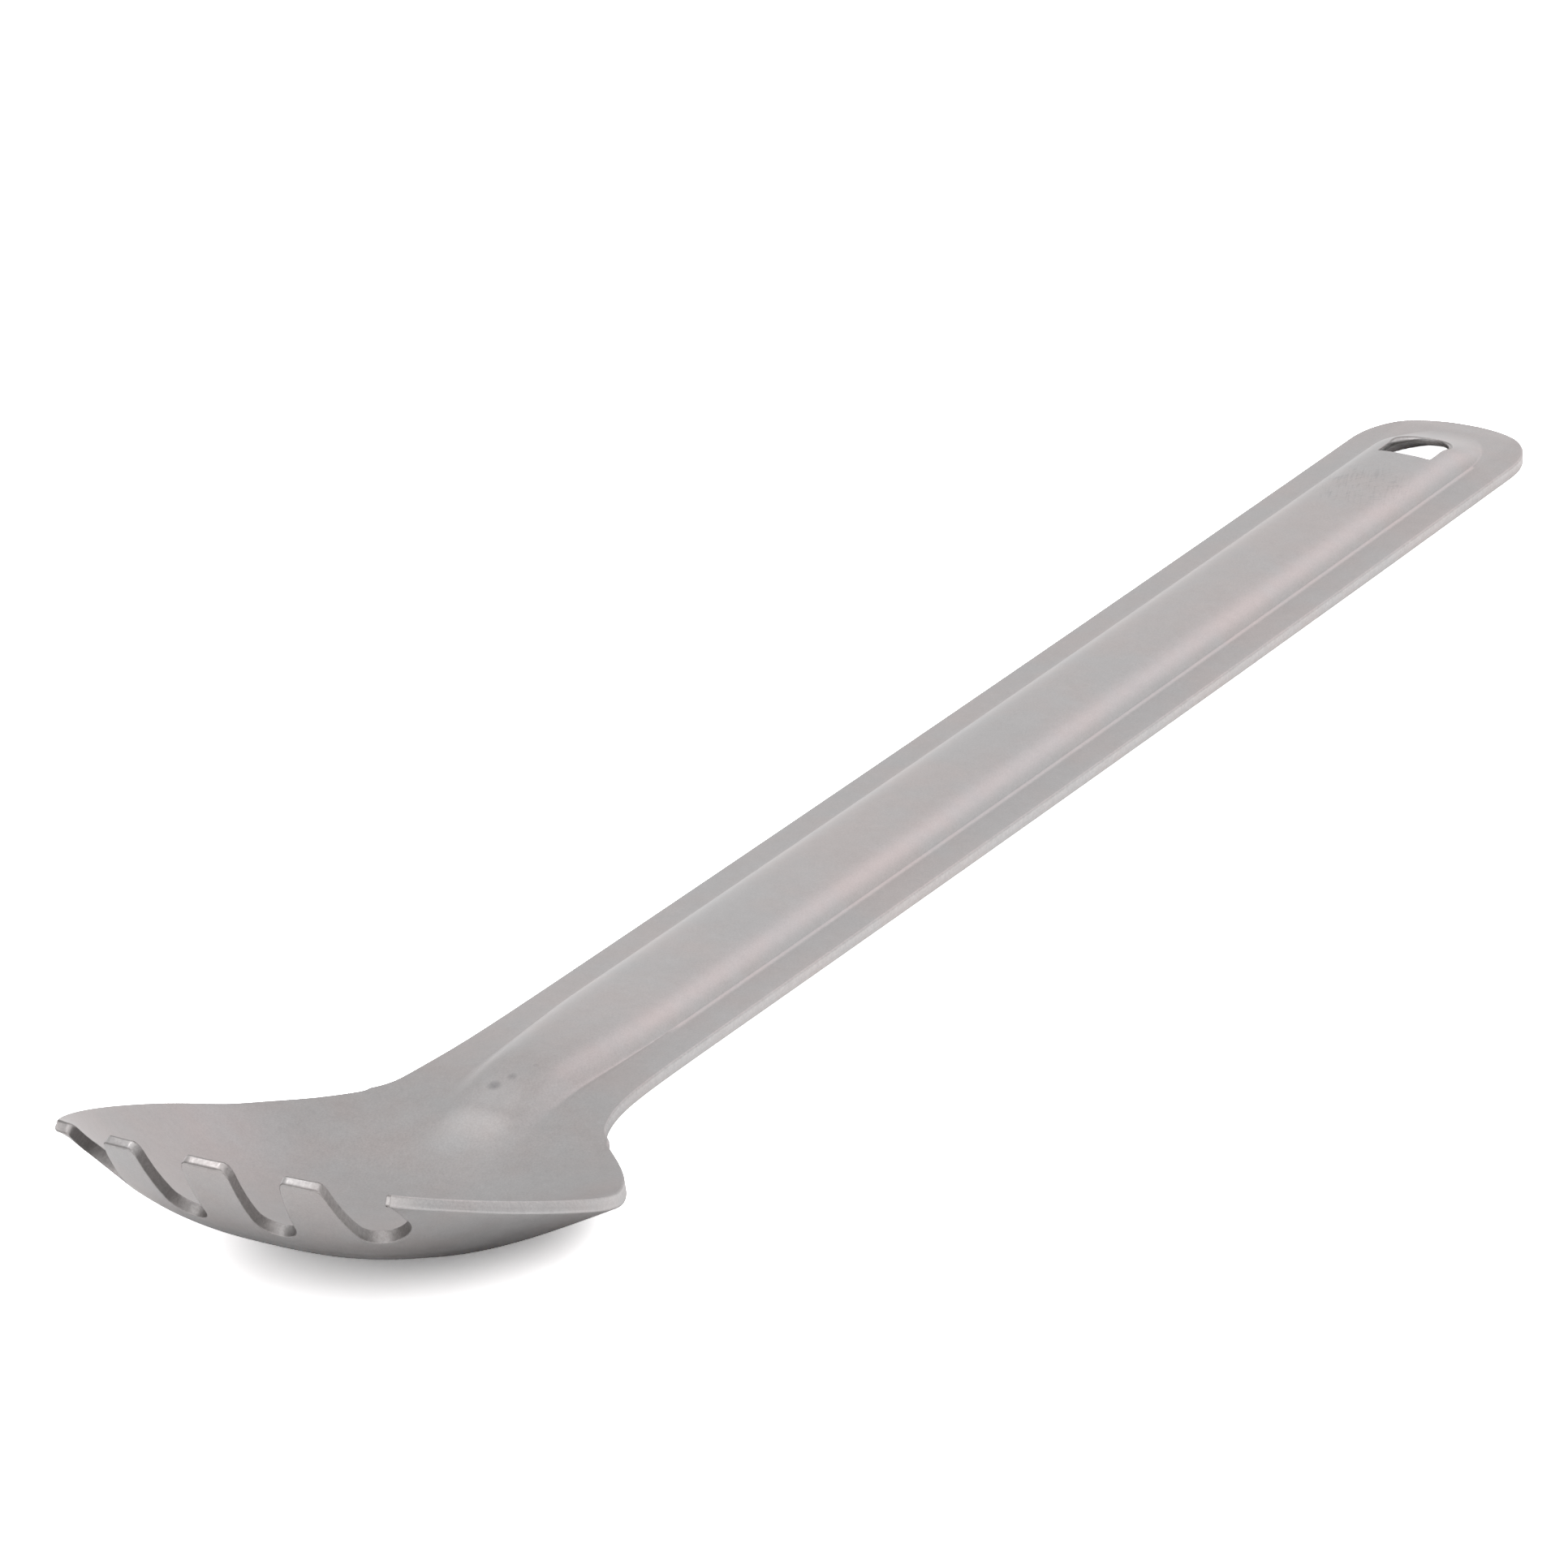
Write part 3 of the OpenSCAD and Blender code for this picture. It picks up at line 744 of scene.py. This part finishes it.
def makeTitanium(t):
    # A satin metal. Clouds, mottle and grain vary its colour and roughness. Rims and tips are brighter
    # and coarser, with wear and painted highlight, and painted shade darkens the slots' walls, the
    # hole's inside, the bowl and the flanges.
    made = bpy.data.materials.new("blastedTitanium")
    tree = emptyTree(made)
    place = addNode(tree, "ShaderNodeTexCoord", {}, {}, "Object")

    def noise(size, detail, roughness, stretch=(1, 1, 1), turn=0.0):
        # Noise with blobs of the given size in millimetres, stretched and turned about Z.
        laid = addNode(tree, "ShaderNodeMapping", {"vector_type": "TEXTURE"},
                       {"Vector": place, "Scale": stretch, "Rotation": (0, 0, turn)})
        return addNode(tree, "ShaderNodeTexNoise", {},
                       {"Vector": laid, "Scale": 1 / (size * mm), "Detail": detail,
                        "Roughness": roughness}, "Fac")

    def ramp(value, stops):
        return addNode(tree, "ShaderNodeValToRGB", {"stops": stops}, {"Fac": value})

    def blend(share, a, b):
        return addNode(tree, "ShaderNodeMixRGB", {}, {"Fac": share, "Color1": a, "Color2": b})

    def near(spot, radius):
        # 1 at the spot, falling to 0 at the radius.
        gap = distance(place, [v * mm for v in spot])
        return rise(gap, radius * mm, t["markCore"] * radius * mm)

    def swing(value, spread):
        # A noise about zero, times its spread.
        return spread * (value - 0.5)

    down, kind = (addNode(tree, "ShaderNodeAttribute", {"attribute_name": name}, {}, "Fac")
                  for name in ("down", "edgeKind"))
    edge = ramp(kind, t["edgeStops"])
    slot, tip, inside = (rise(kind, *t[name], "LINEAR") for name in ("slotRange", "tipRange", "holeRange"))

    cloud, patch, mottle, grain, coarse = (noise(*t[name]) for name in t["noises"])
    fromCloud, fromPatch = t["tintMix"]
    tint = blend(ramp(fromCloud * cloud + fromPatch * patch, t["tintStops"]), t["rose"], t["blue"])
    colour = blend(t["tintShare"], t["grey"], tint)
    handle = rise(component(place, "X"), t["bowlTo"] * mm, t["handleFrom"] * mm)
    foot, side = spork["ribWidth"] / 2, spork["handleWidth"] / 2
    flange = rise(abs(component(place, "Y")), foot * mm, mix(foot, side, t["flangeShare"]) * mm)
    # Painted shade: the bowl darker than the handle, and the flanges beside the rib darker still; the
    # noises vary the tone at random.
    shade = (t["bowlPaintedShade"] + (t["handleShade"] - t["bowlPaintedShade"]) * handle
             - t["flangePaintedShade"] * flange * handle + swing(mottle, t["mottleShade"])
             + swing(grain, t["grainShade"]) + swing(patch, t["patchShade"]))

    # The cut edges: wear with painted highlight on the rims and tips, burrs on the tips, and painted shade
    # on the slots' walls.
    # Painted highlight bands and a painted shade line down the height of the rims and tips, on a pale
    # colour that is partly wear.
    paintedEdgeLight, burr = ramp(down, t["paintedEdgeLightStops"]), ramp(down, t["burrStops"])
    speck = ramp(coarse, t["speckStops"])
    # Painted shade on the slots' walls, between the tines.
    wall = slot * (1.0 - tip)
    wearAndSheen = edge * (1.0 - slot) * (t["rimWearAndSheen"] + t["rimSpeck"] * speck) * paintedEdgeLight
    burrAndShadeDark = tip * burr * t["burrBurnt"] + wall * (t["wallPaintedShade"] - t["wallSpeck"] * speck)
    colour = blend(wearAndSheen, colour, t["wearAndSheen"])
    # Bright specks on the tips and the hole's edge: wear with painted highlight.
    colour = blend(tip * t["tipSpeck"] * speck, colour, t["wearAndSheen"])
    colour = blend(burrAndShadeDark, colour, t["burrAndShadeDark"])
    # Painted shade on the hang hole's inside.
    colour = blend(inside * ramp(down, t["holeShadeStops"]), colour, t["burrAndShadeDark"])

    # The marks and the scratches.
    for spot, radius, strength in t["marks"]:
        colour = blend(near(spot, radius) * strength, colour, t["smudge"])
    spot, radius, strength = t["brushed"]
    first, second = (noise(*t["scratch"], t["scratchStretch"], math.radians(turn))
                     for turn in t["scratchTurns"])
    rub = near(spot, radius) * ramp(0.5 * first + 0.5 * second, t["scratchStops"])
    colour = blend(rub * strength, colour, t["smudge"])
    colour = addNode(tree, "ShaderNodeVectorMath", {"operation": "SCALE"}, {0: colour, "Scale": shade})

    rough = (t["roughness"] + swing(patch, t["roughSpread"]) + swing(grain, t["grainRough"])
             - t["speckSmooth"] * edge * speck)
    relief = (t["grainBump"] * grain + t["edgeBump"] * edge * coarse + t["ripple"] * mottle
              - t["scratchBump"] * rub)
    bump = addNode(tree, "ShaderNodeBump", {},
                   {"Strength": t["bumpStrength"], "Distance": t["bumpDepth"] * mm, "Height": relief})
    metal = addNode(tree, "ShaderNodeBsdfPrincipled", {},
                    {"Base Color": colour, "Metallic": 1.0, "Roughness": rough, "Normal": bump})
    showSurface(tree, "ShaderNodeOutputMaterial", metal)
    return made


body = bpy.data.objects.new("spork", makeSheetMesh())
bpy.context.scene.collection.objects.link(body)
body.data.materials.append(makeTitanium(titanium))
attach(body, "root")
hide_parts("spork_body")
print("sheet made:", len(body.data.polygons), "faces")

# Floor and light: strengths at which a colour renders about as it is written.
studio = {
    "sky": 0.95, "horizon": 1.2, "horizonHeight": 0.22,
    # a paler wall on the viewer's side: direction, strength and the range over which it comes up
    "nearSide": (-0.74, -0.48, 0.47), "nearLight": 0.7, "nearRange": (0.1, 0.8),
    # floor: tones for light, for the metal's mirror image and for the camera, and half its width
    # in metres
    "floorShade": 0.93, "floorMirrored": 1.0, "floorSeen": 2.3, "floorHalf": 6.0,
    # where the shadow shows, and the deeper painted shadow that only the metal mirrors, in metres
    "shadowPlace": (-0.090, -0.006, 0), "shadowFrom": 0.010, "shadowTo": 0.032,
    "deepPlace": (-0.080, 0, 0), "deepFrom": 0.010, "deepTo": 0.026, "deepShade": 0.03,
    # place and aim in metres, the lamp's two sizes, its power in watts and its colour
    "lamps": {
        "sideLamp": ((0.85, -0.12, 0.62), (0, 0, 0), (0.5, 0.7), 0.6, (1, 0.80, 0.82)),
        "topLamp": ((-0.06, 0.35, 0.86), (-0.07, 0, 0), (0.22, 0.22), 1.0, (1, 1, 1)),
    },
}


def makeFloor(s):
    # White paper. The camera sees it brighter than it lights the spork, so that only deep shadow shows,
    # and away from the bowl it is white all over. The metal mirrors a deep painted shadow under the bowl.
    half = s["floorHalf"]
    corners = [(-half, -half, 0), (half, -half, 0), (half, half, 0), (-half, half, 0)]
    mesh = bpy.data.meshes.new("floor")
    mesh.from_pydata(corners, [], [(0, 1, 2, 3)])
    floor = bpy.data.objects.new("floor", mesh)
    bpy.context.scene.collection.objects.link(floor)
    made = bpy.data.materials.new("paper")
    tree = emptyTree(made)
    glossy, clear, seen = (addNode(tree, "ShaderNodeLightPath", {}, {}, name)
                           for name in ("Is Glossy Ray", "Is Transmission Ray", "Is Camera Ray"))
    mirrored = glossy.math("MAXIMUM", glossy, clear)
    spot = addNode(tree, "ShaderNodeTexCoord", {}, {}, "Object")
    farFromDeep = rise(distance(spot, s["deepPlace"]), s["deepFrom"], s["deepTo"])
    farFromShadow = rise(distance(spot, s["shadowPlace"]), s["shadowFrom"], s["shadowTo"])
    deep = s["deepShade"] + (s["floorMirrored"] - s["deepShade"]) * farFromDeep
    shade = (s["floorShade"] + (s["floorSeen"] - s["floorShade"]) * seen
             + (deep - s["floorShade"]) * mirrored)
    matt = addNode(tree, "ShaderNodeBsdfDiffuse", {}, {"Color": shade})
    glow = addNode(tree, "ShaderNodeEmission", {}, {"Strength": farFromShadow * seen})
    paper = addNode(tree, "ShaderNodeAddShader", {}, {0: matt, 1: glow})
    showSurface(tree, "ShaderNodeOutputMaterial", paper)
    mesh.materials.append(made)


def makeWorld(s):
    # A pale room, brighter near the horizon and on the viewer's side.
    world = bpy.data.worlds.new("room")
    bpy.context.scene.world = world
    tree = emptyTree(world)
    direction = addNode(tree, "ShaderNodeTexCoord", {}, {}, "Generated")
    low = rise(component(direction, "Z"), s["horizonHeight"], 0.0)
    facing = addNode(tree, "ShaderNodeVectorMath", {"operation": "DOT_PRODUCT"},
                     {0: direction, 1: s["nearSide"]}, "Value")
    strength = (s["sky"] + (s["horizon"] - s["sky"]) * low
                + s["nearLight"] * rise(facing, *s["nearRange"]))
    back = addNode(tree, "ShaderNodeBackground", {}, {"Color": (1, 1, 1, 1), "Strength": strength})
    showSurface(tree, "ShaderNodeOutputWorld", back)


def makeLamp(name, place, target, size, power, colour):
    # A rectangular lamp at a place, turned to face its target.
    data = bpy.data.lights.new(name, "AREA")
    data.shape = "RECTANGLE"
    data.size, data.size_y = size
    data.energy = power
    data.color = colour
    lamp = bpy.data.objects.new(name, data)
    bpy.context.scene.collection.objects.link(lamp)
    turned = (Vector(target) - Vector(place)).to_track_quat("-Z", "Y").to_matrix().to_4x4()
    lamp.matrix_world = Matrix.Translation(Vector(place)) @ turned


makeFloor(studio)
makeWorld(studio)
for name, values in studio["lamps"].items():
    makeLamp(name, *values)
bpy.context.scene.view_settings.view_transform = "Standard"
print("studio made")
